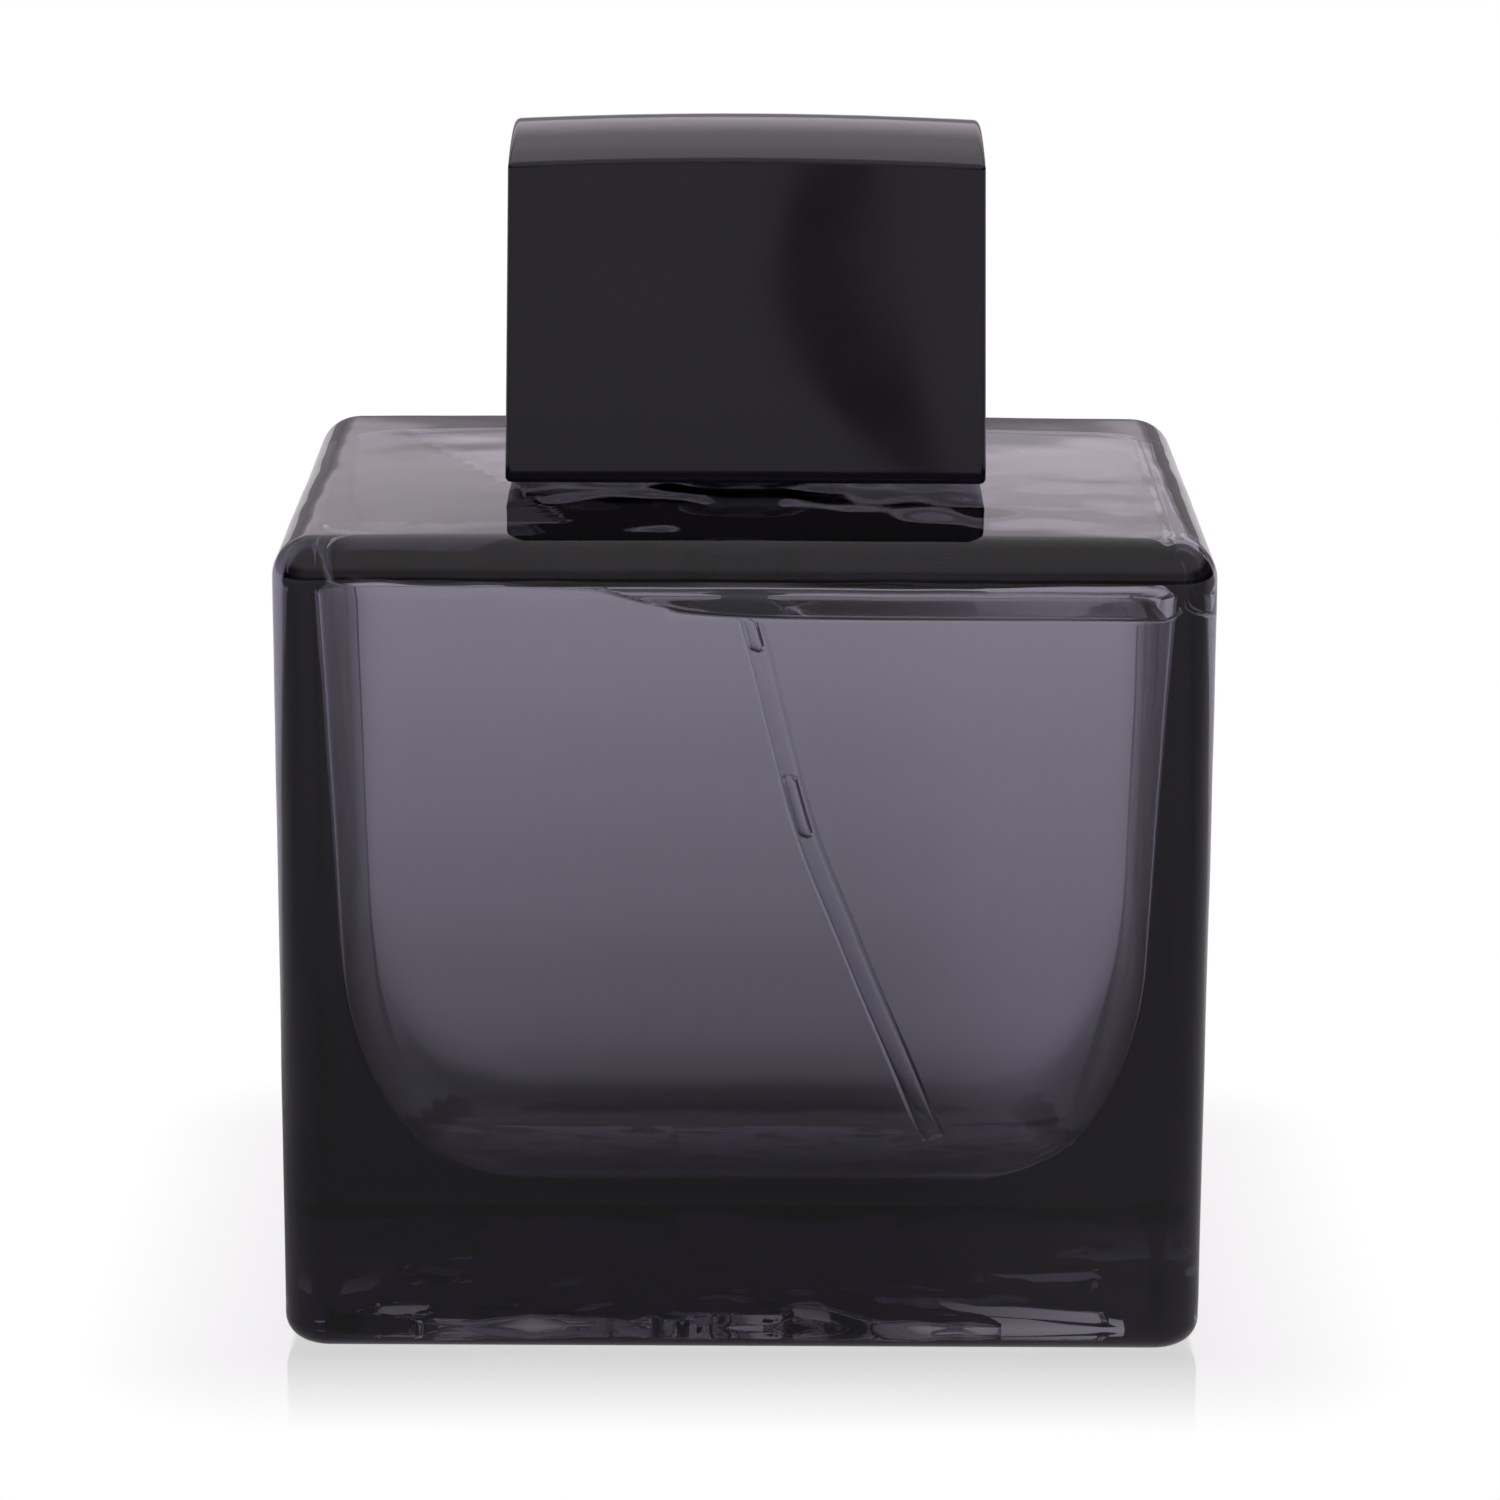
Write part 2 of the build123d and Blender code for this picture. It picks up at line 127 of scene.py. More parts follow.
def plan_loop(half_w, half_d, corner_r):
    """Rounded rectangle as an (N, 2) array, anticlockwise from the left end of the front."""
    w, d = half_w - corner_r, half_d - corner_r
    corners = [(w, -d), (w, d), (-w, d), (-w, -d)]
    points = []
    for side, (cx, cy) in enumerate(corners):
        px, py = corners[side - 1]
        out = math.radians(90 * side - 90)
        ox, oy = corner_r * math.cos(out), corner_r * math.sin(out)
        count = SHORT if side % 2 else LONG
        for k in range(count):
            t = k / count
            points.append((px + (cx - px) * t + ox, py + (cy - py) * t + oy))
        for k in range(CORNER):
            turn = out + math.radians(90) * k / CORNER
            points.append((cx + corner_r * math.cos(turn), cy + corner_r * math.sin(turn)))
    return np.array(points)


def circle_loop(radius):
    """Circle whose points face those of a rounded rectangle."""
    square = plan_loop(1.0, 1.0, 0.3)
    return radius * square / np.linalg.norm(square, axis=1)[:, None]


def at_height(loop, z):
    return np.column_stack([loop, np.broadcast_to(z, len(loop))])


def between(a, b, steps, first=1):
    """Loops from a to b in equal steps; a itself is left out unless first is 0."""
    return [a + (b - a) * k / steps for k in range(first, steps + 1)]


def quarter_turn(steps):
    """Angles up to a right angle in equal steps, without zero."""
    return np.radians(np.linspace(0, 90, steps + 1)[1:])


def full_turn(sides):
    return np.radians(np.arange(sides) * 360 / sides)


def lathe(profile):
    """Loops of a turned shape from its (radius, height) points."""
    return [at_height(circle_loop(r), z) for r, z in profile]


def arc(cr, cz, radius, start, end, steps):
    """(radius, height) points of an arc about (cr, cz), angles in degrees."""
    angles = np.radians(np.linspace(start, end, steps + 1))
    return [(cr + radius * math.cos(a), cz + radius * math.sin(a)) for a in angles]


def with_poles(loops):
    """All points of the loops, then the middle of the first and of the last."""
    return np.vstack(loops + [loops[0].mean(axis=0)[None], loops[-1].mean(axis=0)[None]])


def loft_faces(loops, around):
    """Faces between neighbouring loops, and from the first and the last loop to their poles."""
    faces = []
    for row in range(loops - 1):
        a, b = row * around, (row + 1) * around
        faces += [(a + k, a + (k + 1) % around, b + (k + 1) % around, b + k)
                  for k in range(around)]
    last, pole = (loops - 1) * around, loops * around
    faces += [(pole, (k + 1) % around, k) for k in range(around)]
    faces += [(pole + 1, last + k, last + (k + 1) % around) for k in range(around)]
    return faces


def flipped(faces):
    return [face[::-1] for face in faces]


def mesh_object(name, points, faces, body, wet=None):
    """Smooth object from points in millimetres; wet is 1 where glass and lotion touch."""
    mesh = bpy.data.meshes.new(name)
    mesh.from_pydata((np.asarray(points) * MM).tolist(), [], faces)
    mesh.polygons.foreach_set("use_smooth", [True] * len(mesh.polygons))
    if wet is not None:
        wetness = mesh.attributes.new("wet", "FLOAT", "POINT")
        wetness.data.foreach_set("value", wet.astype(np.float32))
    obj = bpy.data.objects.new(name, mesh)
    bpy.context.collection.objects.link(obj)
    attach(obj, body)
    return obj


def ripple(points, size, seed):
    """Smooth noise between -1 and 1 at each point, with features of about this size."""
    away = Vector(SEED_SHIFT * seed)
    return np.array([noise.noise(Vector(p) / size + away) for p in points])


def moulded(points, faces, reach, size, seed):
    """Points moved along their normals by noise of each one's reach, and those normals."""
    mesh = bpy.data.meshes.new("moulding")
    mesh.from_pydata(points.tolist(), [], faces)
    normals = np.empty(len(points) * 3)
    mesh.vertices.foreach_get("normal", normals)
    bpy.data.meshes.remove(mesh)
    normals = normals.reshape(-1, 3)
    return points + normals * (reach * ripple(points, size, seed))[:, None], normals


# ---- Glass -------------------------------------------------------------------------------------

def crowned(loop, z, crown, half_w, half_d):
    """Height over each point of a roof that rises from z at its edge by the crown."""
    return z + crown * (1 - (loop[:, 0] / half_w) ** 2) * (1 - (loop[:, 1] / half_d) ** 2)


def shoulder_z(loop):
    return crowned(loop, SHOULDER_Z, CROWN, HALF_W, HALF_D)


def swept_in(z, top, reach):
    """How far a wall has curved in at a height, by a quarter of an ellipse below the top."""
    drop = max(top - z, 0) / (top - FLOOR_Z)
    return reach * (1 - math.sqrt(max(1 - drop ** 2, 0)))


def cavity_half(z):
    """Half width, half depth and corner radius of the cavity at a height."""
    lean = (KNEE_Z - z) * DRAFT
    side, toe = swept_in(z, KNEE_Z, SIDE_REACH), swept_in(z, TOE_Z, TOE_REACH)
    corner = CAVITY_CORNER_R - min(lean, 0) + SWEPT_CORNER * side
    return KNEE_HALF_W - lean - side, KNEE_HALF_D - lean - toe, corner


def cavity_plan(half_w, half_d, corner_r):
    """Rounded rectangle of the cavity, with tighter corners at the right than at the left."""
    left = plan_loop(half_w, half_d, corner_r)
    right = plan_loop(half_w, half_d, corner_r - TIGHTER_RIGHT)
    share = np.clip(0.5 + left[:, 0] / half_w, 0, 1)[:, None]
    return left + (right - left) * share


def ceiling_z(loop):
    half_w, half_d, _ = cavity_half(CEILING_Z)
    return crowned(loop, CEILING_Z, CEILING_CROWN, half_w, half_d)


def wavering(loop):
    """The loop drawn in and out unevenly, as the edge of a moulded recess is."""
    spots = np.column_stack([loop, np.zeros(len(loop))])
    (wide, wide_size), (fine, fine_size) = WAVER_WIDE, WAVER_FINE
    inwards = (WAVER + wide * ripple(spots, wide_size, WIDE_SEED)
               + fine * ripple(spots, fine_size, FINE_SEED))
    return loop * (1 - np.clip(inwards, 0, WAVER_MOST))[:, None]


def base_loops():
    """Raised middle of the base, its slope, the bearing ring and the heel."""
    ring_w, ring_d = HALF_W - HEEL_R, HALF_D - HEEL_R
    edge_w, edge_d = ring_w - BEARING_W, ring_d - BEARING_W
    ring = plan_loop(ring_w, ring_d, SIDE_R - HEEL_R + HEEL_EASE)
    edge = wavering(plan_loop(edge_w, edge_d, RECESS_R))
    middle = wavering(plan_loop(edge_w - RECESS_SLOPE_W, edge_d - RECESS_SLOPE_W, RECESS_TOP_R))
    loops = [at_height(middle * s, PUSH_UP) for s in np.linspace(POLE_SHARE, 1, RECESS_ROWS)]
    loops += between(loops[-1], at_height(edge, 0), SLOPE_STEPS)
    loops += between(loops[-1], at_height(ring, 0), RING_STEPS)
    for turn in quarter_turn(HEEL_STEPS):
        out = HEEL_R * math.sin(turn)
        corner = SIDE_R - (HEEL_R - out) * (1 - HEEL_EASE / HEEL_R)
        plan = plan_loop(ring_w + out, ring_d + out, corner)
        loops.append(at_height(plan, HEEL_R * (1 - math.cos(turn))))
    return loops


def shoulder_loops():
    """Walls, the rounding at their top and the shoulder up to the neck."""
    wall = plan_loop(HALF_W, HALF_D, SIDE_R)
    top = SHOULDER_Z - SHOULDER_R
    loops = [at_height(wall, z) for z in np.linspace(HEEL_R, top, WALL_STEPS + 1)[1:]]
    for turn in quarter_turn(SHOULDER_STEPS):
        inset = SHOULDER_R * (1 - math.cos(turn))
        plan = plan_loop(HALF_W - inset, HALF_D - inset, SIDE_R - inset * SHOULDER_TIGHTER)
        rise = SHOULDER_R * math.sin(turn)
        loops.append(at_height(plan, top + rise + (shoulder_z(plan) - SHOULDER_Z) * math.sin(turn)))
    edge, root = loops[-1][:, :2], circle_loop(NECK_R + NECK_ROOT_R)
    return loops + [at_height(plan, shoulder_z(plan)) for plan in between(edge, root, TOP_STEPS)]


def neck_loops():
    """Outside of the neck with its bead, the rim and the bore, all hidden by the crimp."""
    root = SHOULDER_Z + CROWN
    profile = arc(NECK_R + NECK_ROOT_R, root + NECK_ROOT_R, NECK_ROOT_R, 270, 180, 5)[1:]
    profile += [(NECK_R, BEAD_Z - 0.6), (NECK_R + 0.2, BEAD_Z - 0.2)]
    profile += arc(BEAD_R - BEAD_EDGE_R, BEAD_Z + 0.3, BEAD_EDGE_R, -60, 0, 3)
    profile += arc(BEAD_R - RIM_R, NECK_TOP - RIM_R, RIM_R, 0, 90, 4)
    profile += arc(BORE_R + MOUTH_R, NECK_TOP - MOUTH_R, MOUTH_R, 90, 180, 4)
    foot = CEILING_Z + CEILING_CROWN + BORE_FOOT
    profile += [(BORE_R, z) for z in np.linspace(NECK_TOP - MOUTH_R, foot, 8)[1:]]
    return lathe(profile)


def cavity_loops():
    """From the foot of the bore over the ceiling, down the walls and in over the floor."""
    top_w, top_d, top_r = cavity_half(CEILING_Z - CEILING_R)
    edge = cavity_plan(top_w - CEILING_R, top_d - CEILING_R, top_r - CEILING_R)
    loops = [at_height(plan, ceiling_z(plan))
             for plan in between(circle_loop(BORE_FOOT_R), edge, CEILING_STEPS, first=0)]
    for turn in quarter_turn(CEILING_EDGE_STEPS):
        inset = CEILING_R * (1 - math.sin(turn))
        plan = cavity_plan(top_w - inset, top_d - inset, top_r - inset)
        loops.append(at_height(plan, ceiling_z(plan) - CEILING_R * (1 - math.cos(turn))))
    heights = list(np.linspace(CEILING_Z - CEILING_R - CAVITY_WALL_GAP, KNEE_Z, CAVITY_WALL_ROWS))
    heights += [KNEE_Z - (KNEE_Z - FLOOR_Z) * math.sin(turn) for turn in quarter_turn(SWEEP_STEPS)]
    loops += [at_height(cavity_plan(*cavity_half(z)), z) for z in heights]
    floor = loops[-1]
    return loops + [floor * (s, s, 1) for s in np.linspace(1, POLE_SHARE, FLOOR_STEPS + 1)[1:]]


def glass_surface():
    """Points, faces and normals of the glass, then the number of its cavity's first loop, of all
    its loops and of the points in each."""
    parts = [base_loops(), shoulder_loops(), neck_loops(), cavity_loops()]
    loops = [loop for part in parts for loop in part]
    around = len(loops[0])
    faces = loft_faces(len(loops), around)
    points = with_poles(loops)
    base, walls, neck, _ = (len(part) for part in parts)
    ring, cavity = base - HEEL_STEPS - RING_STEPS // 2, base + walls + neck
    reach = np.zeros(len(loops))
    reach[:ring] = RECESS_RIPPLE
    reach[ring:base - HEEL_STEPS] = RING_RIPPLE
    reach[base:base + walls] = WALL_RIPPLE
    still = cavity + STILL_LOOPS
    reach[still:] = WALL_RIPPLE
    reach[still + 1:still + 1 + CEILING_STEPS] = CEILING_RIPPLE
    reach = np.append(np.repeat(reach, around), [reach[0], reach[-1]])
    stipple = np.where(np.arange(len(points)) < (ring - 1) * around, STIPPLE, 0.0)
    points, _ = moulded(points, faces, reach, RIPPLE_SIZE, RIPPLE_SEED)
    points, _ = moulded(points, faces, stipple, STIPPLE_SIZE, STIPPLE_SEED)
    points, normals = moulded(points, faces, reach * SWAY_SHARE, SWAY_SIZE, SWAY_SEED)
    points[:, :2] = np.clip(points[:, :2], (-HALF_W, -HALF_D), (HALF_W, HALF_D))
    points[:, 2] = np.clip(points[:, 2], 0, NECK_TOP)
    return points, faces, normals, cavity, len(loops), around


# ---- Lotion ------------------------------------------------------------------------------------

def lotion_top(points):
    """Height of the free surface: level, with a meniscus at the walls and clinging at the left."""
    half_w, half_d, _ = cavity_half(LEVEL)
    x, y = points[:, 0], points[:, 1]
    wall = np.clip(np.minimum(half_w - abs(x), half_d - abs(y)), 0, None)
    end = POCKET_X - POCKET_SLANT * (y + half_d)
    cling = CLING * np.exp(-(x - end) / CLING_FADE)
    film = CEILING_Z - AIR_FILM + FILM_END * np.clip(y + half_d - FILM_W, 0, None)
    return np.minimum(LEVEL + cling + MENISCUS * np.exp(-wall / MENISCUS_FADE), film)


def lotion_surface(points, normals, cavity, rows, around):
    """The cavity's own surface, swollen into the glass so that no air shows between them and cut
    off at the free surface; it faces outwards, against the glass's."""
    shell = slice(cavity * around, rows * around)
    pole = points[-1] - normals[-1] * SWELL
    swollen = (points[shell] - normals[shell] * SWELL).reshape(-1, around, 3)
    foot = points[shell][:around]
    loops = [foot * (s, s, 1) for s in LOTION_POLE_SHARES] + list(swollen)
    flat = np.vstack(loops + [loops[0].mean(axis=0)[None], pole[None]])
    top = lotion_top(flat)
    wetting = flat[:, 2] < top
    flat[:, 2] = np.where(wetting, flat[:, 2], top)
    return flat, flipped(loft_faces(len(loops), around)), wetting


def tube_axis(corners, bends, steps=12):
    """Points down the middle of the dip tube, as (sideways, height), with its bends rounded."""
    points = [corners[0]]
    for before, corner, after, length in zip(corners, corners[1:], corners[2:], bends):
        come = (before - corner) / np.linalg.norm(before - corner) * length
        leave = (after - corner) / np.linalg.norm(after - corner) * length
        for t in np.linspace(0, 1, steps + 1):
            points.append(corner + come * (1 - t) ** 2 + leave * t ** 2)
    return np.array(points + [corners[-1]])


def air_slug(axis, top, bottom):
    """Closed surface of a length of air in the dip tube, facing inwards as a hole does."""
    turn = full_turn(SLUG_SIDES)
    lengths = np.linspace(0, 1, SLUG_ROWS)
    ends = np.sqrt(np.clip(1 - np.abs(lengths * 2 - 1) ** SLUG_SQUARENESS, SLUG_TIP, 1))
    loops = []
    for share, end in zip(lengths, ends):
        z = top + (bottom - top) * share
        along = np.interp(z, axis[::-1, 1], axis[::-1, 0]) + AIR_R * end * np.cos(turn)
        across = AIR_R * end * np.sin(turn)
        loops.append(np.column_stack([along * math.cos(DIP_LEAN) - across * math.sin(DIP_LEAN),
                                      along * math.sin(DIP_LEAN) + across * math.cos(DIP_LEAN),
                                      np.full(SLUG_SIDES, z)]))
    return with_poles(loops), loft_faces(len(loops), SLUG_SIDES)


def lotion_with_air(points, faces, wetting):
    """Adds the air in the dip tube to the lotion's surface."""
    axis = tube_axis([np.array(corner) for corner in DIP_ROUTE], DIP_BENDS)
    for top, bottom in AIR_SLUGS:
        slug, slug_faces = air_slug(axis, top, bottom)
        faces = faces + [tuple(k + len(points) for k in face) for face in slug_faces]
        points = np.vstack([points, slug])
        wetting = np.append(wetting, np.zeros(len(slug), bool))
    return points, faces, wetting


glass, glass_faces, normals, cavity, rows, around = glass_surface()
in_cavity = np.arange(len(glass)) >= cavity * around
wetted = in_cavity & (glass[:, 2] < lotion_top(glass))
wetted[-2] = False                      # the pole under the base
bottle_glass = mesh_object("bottle_glass", glass, glass_faces, "bottle", wetted)
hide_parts("glass_bottle")
points, faces, wetting = lotion_with_air(*lotion_surface(glass, normals, cavity, rows, around))
lotion = mesh_object("lotion", points, faces, "bottle", wetting)
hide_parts("aftershave_lotion")


# ---- Springs -----------------------------------------------------------------------------------
END_CLOSING = 0.5                       # 0 for even turns, 1 for end turns that lie flat


def spring(name, node, wire_r, turns, body):
    """Coil spring in place of a CAD spring, with its end turns closer together."""
    lo, hi = node_box(node)
    height = hi[2] - lo[2]
    round_wire = full_turn(WIRE_SIDES)
    out = hi[0] - wire_r + wire_r * np.cos(round_wire)
    loops = []
    for t in np.linspace(0, 1, turns * COIL_STEPS + 1):
        share = t - END_CLOSING * math.sin(2 * math.pi * t) / (2 * math.pi)
        z = lo[2] + wire_r + (height - 2 * wire_r) * share
        turn = 2 * math.pi * turns * t
        loops.append(np.column_stack([out * math.cos(turn), out * math.sin(turn),
                                      z + wire_r * np.sin(round_wire)]))
    faces = flipped(loft_faces(len(loops), WIRE_SIDES))
    piece = mesh_object(name, with_poles(loops), faces, body)
    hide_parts(node)
    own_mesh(piece)
    return piece


springs = [
    spring("return_coil", "return_spring", 0.22, 6, "bottle"),
    spring("outlet_coil", "outlet_spring", 0.12, 6, "spray_head"),
]


# ---- Materials ---------------------------------------------------------------------------------

class Nodes:
    """Short helpers for building a node tree."""

    def __init__(self, tree):
        self.tree = tree

    def link(self, source, target):
        self.tree.links.new(source, target)

    def feed(self, value, target):
        """Links a socket to the target, or gives the target a fixed value."""
        if isinstance(value, bpy.types.NodeSocket):
            self.link(value, target)
        else:
            target.default_value = value

    def node(self, kind, **settings):
        """New node; a setting is one of its own, or else the value of an input."""
        made = self.tree.nodes.new(kind)
        for key, value in settings.items():
            if hasattr(made, key):
                setattr(made, key, value)
            else:
                made.inputs[key.replace("_", " ")].default_value = value
        return made

    def maths(self, operation, a, b=0.0):
        made = self.node("ShaderNodeMath", operation=operation)
        self.feed(a, made.inputs[0])
        self.feed(b, made.inputs[1])
        return made.outputs["Value"]

    def length(self, a, b):
        return self.maths("SQRT", self.maths("ADD", self.maths("MULTIPLY", a, a),
                                             self.maths("MULTIPLY", b, b)))

    def mix(self, share, a, b, blend_type="MIX"):
        """Colour a mixed with colour b; any of the three is a socket or fixed."""
        made = self.node("ShaderNodeMix", data_type="RGBA", blend_type=blend_type)
        self.feed(share, made.inputs["Factor"])
        self.feed(a, made.inputs[6])
        self.feed(b, made.inputs[7])
        return made.outputs[2]

    def ramp(self, value, low, high, stops, smooth=True):
        """Grey level from (place, level) stops between low and high."""
        ranged = self.node("ShaderNodeMapRange", From_Min=low, From_Max=high)
        self.link(value, ranged.inputs["Value"])
        ramp = self.node("ShaderNodeValToRGB")
        ramp.color_ramp.interpolation = "EASE" if smooth else "LINEAR"
        elements = ramp.color_ramp.elements
        elements.remove(elements[1])
        for index, (place, level) in enumerate(stops):
            position = (place - low) / (high - low)
            element = elements.new(position) if index else elements[0]
            element.position = position
            element.color = (level, level, level, 1)
        self.link(ranged.outputs["Result"], ramp.inputs["Fac"])
        return ramp.outputs["Color"]


class Shader(Nodes):
    """A node material built on a Principled BSDF."""

    def __init__(self, name, **sockets):
        self.material = bpy.data.materials.new(name)
        self.material.use_nodes = True
        super().__init__(self.material.node_tree)
        self.bsdf = self.tree.nodes["Principled BSDF"]
        self.output = self.tree.nodes["Material Output"]
        for socket, value in sockets.items():
            self.bsdf.inputs[socket.replace("_", " ")].default_value = value

    def noise(self, per_metre, detail=3.0, stretch=(1, 1, 1)):
        """Noise over the object, with this many features per metre."""
        scaled = self.node("ShaderNodeMapping")
        scaled.inputs["Scale"].default_value = stretch
        self.link(self.node("ShaderNodeTexCoord").outputs["Object"], scaled.inputs["Vector"])
        made = self.node("ShaderNodeTexNoise", Scale=per_metre, Detail=detail)
        self.link(scaled.outputs["Vector"], made.inputs["Vector"])
        return made.outputs["Fac"]

    def colours(self, value, dark, light):
        ramp = self.node("ShaderNodeValToRGB")
        for element, place, colour in zip(ramp.color_ramp.elements, NOISE_MIDDLE, (dark, light)):
            element.position = place
            element.color = (*colour, 1)
        self.link(value, ramp.inputs["Fac"])
        self.link(ramp.outputs["Color"], self.bsdf.inputs["Base Color"])

    def roughness(self, value, low, high):
        made = self.node("ShaderNodeMapRange", From_Min=NOISE_MIDDLE[0], From_Max=NOISE_MIDDLE[1],
                         To_Min=low, To_Max=high)
        self.link(value, made.inputs["Value"])
        self.link(made.outputs["Result"], self.bsdf.inputs["Roughness"])

    def refract(self, dry, wet):
        """Index of refraction where the surface meets air, and where glass and lotion meet."""
        made = self.node("ShaderNodeMapRange", To_Min=dry, To_Max=wet)
        wetness = self.node("ShaderNodeAttribute", attribute_name="wet").outputs["Fac"]
        self.link(wetness, made.inputs["Value"])
        self.link(made.outputs["Result"], self.bsdf.inputs["IOR"])

    def bump(self, value, height):
        made = self.node("ShaderNodeBump", Distance=height, Strength=1.0)
        self.link(value, made.inputs["Height"])
        self.link(made.outputs["Normal"], self.bsdf.inputs["Normal"])


NOISE_MIDDLE = (0.3, 0.7)               # most noise values lie between these
GLASS_IOR, LOTION_IOR = 1.5, 1.36
GLASS_TINT, GLASS_DENSITY = (0.74, 0.732, 0.773, 1), 400.0


def smoked_glass():
    made = Shader("smoked_glass", Transmission_Weight=1.0, IOR=GLASS_IOR, Base_Color=(1, 1, 1, 1))
    made.refract(GLASS_IOR, GLASS_IOR / LOTION_IOR)
    made.roughness(made.noise(60.0), 0.0, 0.02)
    tint = made.node("ShaderNodeVolumeAbsorption", Density=GLASS_DENSITY, Color=GLASS_TINT)
    made.link(tint.outputs["Volume"], made.output.inputs["Volume"])
    return made.material


def clear_lotion():
    """The lotion bends light only at the air: where it meets glass, the glass does that."""
    made = Shader("lotion", Transmission_Weight=1.0, IOR=LOTION_IOR, Roughness=0.0)
    made.refract(LOTION_IOR, 1.0)
    made.colours(made.noise(40.0), (0.985, 0.985, 1.0), (1.0, 1.0, 1.0))
    return made.material


def gloss_black():
    made = Shader("gloss_black", IOR=1.5)
    made.colours(made.noise(120.0), (0.0040, 0.0030, 0.0105), (0.0055, 0.0042, 0.0135))
    made.roughness(made.noise(90.0, 5.0), 0.03, 0.07)
    made.bump(made.noise(70.0, 1.0), 0.00002)
    return made.material


def moulded_plastic(name, dark, light, rough, grain=900.0, height=0.000008, **sockets):
    """Injection-moulded plastic with a fine even grain."""
    made = Shader(name, **sockets)
    made.colours(made.noise(250.0), dark, light)
    made.roughness(made.noise(180.0), *rough)
    made.bump(made.noise(grain, 2.0), height)
    return made.material


def bare_metal(name, dark, light, rough, stretch):
    made = Shader(name, Metallic=1.0)
    made.colours(made.noise(400.0, stretch=stretch), dark, light)
    made.roughness(made.noise(700.0, stretch=stretch), *rough)
    made.bump(made.noise(1500.0, stretch=stretch), 0.000004)
    return made.material


def grey(level):
    return (level, level, level)


FINISHES = {
    "smoked_glass": smoked_glass(),
    "lotion": clear_lotion(),
    "gasket_rubber": moulded_plastic("gasket_rubber", grey(0.02), grey(0.03), (0.6, 0.8)),
    "ferrule_aluminium": bare_metal("ferrule_aluminium", (0.78, 0.78, 0.79), (0.86, 0.86, 0.87),
                                    (0.18, 0.32), (0.2, 0.2, 4.0)),
    "collar_black": moulded_plastic("collar_black", (0.006, 0.006, 0.007), (0.01, 0.01, 0.011),
                                    (0.12, 0.2)),
    "natural_plastic": moulded_plastic("natural_plastic", (0.78, 0.79, 0.8), (0.84, 0.85, 0.86),
                                       (0.2, 0.35), Subsurface_Weight=0.3),
    "white_plastic": moulded_plastic("white_plastic", (0.76, 0.76, 0.75), (0.82, 0.82, 0.81),
                                     (0.3, 0.45)),
    "steel": bare_metal("steel", (0.5, 0.5, 0.51), grey(0.62), (0.12, 0.22), (1, 1, 1)),
    "clear_tube": moulded_plastic("clear_tube", (0.96, 0.97, 1.0), grey(1.0), (0.02, 0.05),
                                  Transmission_Weight=1.0, IOR=1.1),
    "actuator_black": moulded_plastic("actuator_black", (0.010, 0.010, 0.011),
                                      (0.016, 0.016, 0.017), (0.35, 0.5), 2500.0, 0.00002),
    "cap_black": gloss_black(),
    "liner_black": moulded_plastic("liner_black", (0.012, 0.012, 0.013), (0.018, 0.018, 0.019),
                                   (0.4, 0.55)),
}

bottle_glass.data.materials.append(FINISHES["smoked_glass"])
lotion.data.materials.append(FINISHES["lotion"])
for coil in springs:
    coil.data.materials.append(FINISHES["steel"])
for part in frame["record"]["subparts"]:
    mesh = frame["nodes"][part["node"]].data
    mesh.materials.clear()
    mesh.materials.append(FINISHES[part["material_slot"]])


# ---- Table, backdrop and light -----------------------------------------------------------------
# Levels are what the table or the room gives the glass at a place or in a direction.
WHITE = (1, 1, 1, 1)
TABLE_SIZE = 3.0                        # metres out to each side
TABLE_GLOSS = 0.06
MIRROR_REACH, MIRROR_SHARE = 16, 0.36   # the table mirrors the bottle this far out from its base
TABLE_FRONT, TABLE_BACK, TABLE_SIDE = -500, 300, 100
# From front to back behind the bottle, where its own shade lies, and away from it.
TABLE_LIGHT = [(-500, 0.52), (-200, 0.42), (-90, 0.30), (-30, 0.26), (-24, 0.30), (-6, 0.10),
               (4, 0.02), (28, 0.02), (37, 0.10), (47, 0.28), (60, 0.34), (80, 0.38), (114, 0.47),
               (152, 0.52), (200, 0.58), (300, 0.64)]
OPEN_LIGHT = [(-500, 0.52), (-90, 0.36), (60, 0.62), (150, 0.62), (300, 0.68)]
# From left to right, how much of the open table's light there is.
ASIDE = [(-100, 1.0), (-60, 0.5), (-30, 0.12), (-5, 0.0), (8, 0.0), (30, 0.72), (60, 0.95),
         (100, 1.0)]
# A warm grey oval on the table, which the cap's face mirrors.
CARD_PLACE, CARD_REACH, CARD_COLOUR = (40, -620), (36, 275), (0.42, 0.36, 0.34, 1)
CARD_FADE = [(0.35, 0.75), (0.8, 0.0), (0.93, 0.0), (1.0, 1.0)]
CARD_EDGE, CARD_EDGE_W, CARD_SIDE = 26, 4, 60     # its right side is cut off straight
ROOM_TINT, SKY_TINT = (1.0, 0.96, 1.01, 1), (1.0, 0.91, 0.995, 1)
SKY_AHEAD = [(-1.0, 0.42), (-0.4, 0.12), (0.3, 0.08), (0.8, 0.16), (0.94, 0.8)]
SKY_LOW = [(-1.0, 0.5), (0.1, 0.34), (0.14, 0.5), (0.175, 1.06), (0.4, 1.0)]
SKY_HIGH = [(-1.0, 0.0), (0.35, 0.0), (0.6, 1.0)]
SKY_TOP = (0.73, 0.77, 0.73, 1)
CAMERA_PLACE, CAMERA_LENS, CAMERA_DOWN, CAMERA_ROLL = (0.43, -405.19, 145.66), 126.9, 14.5, 0.0045
LIGHT_BOUNCES = 24


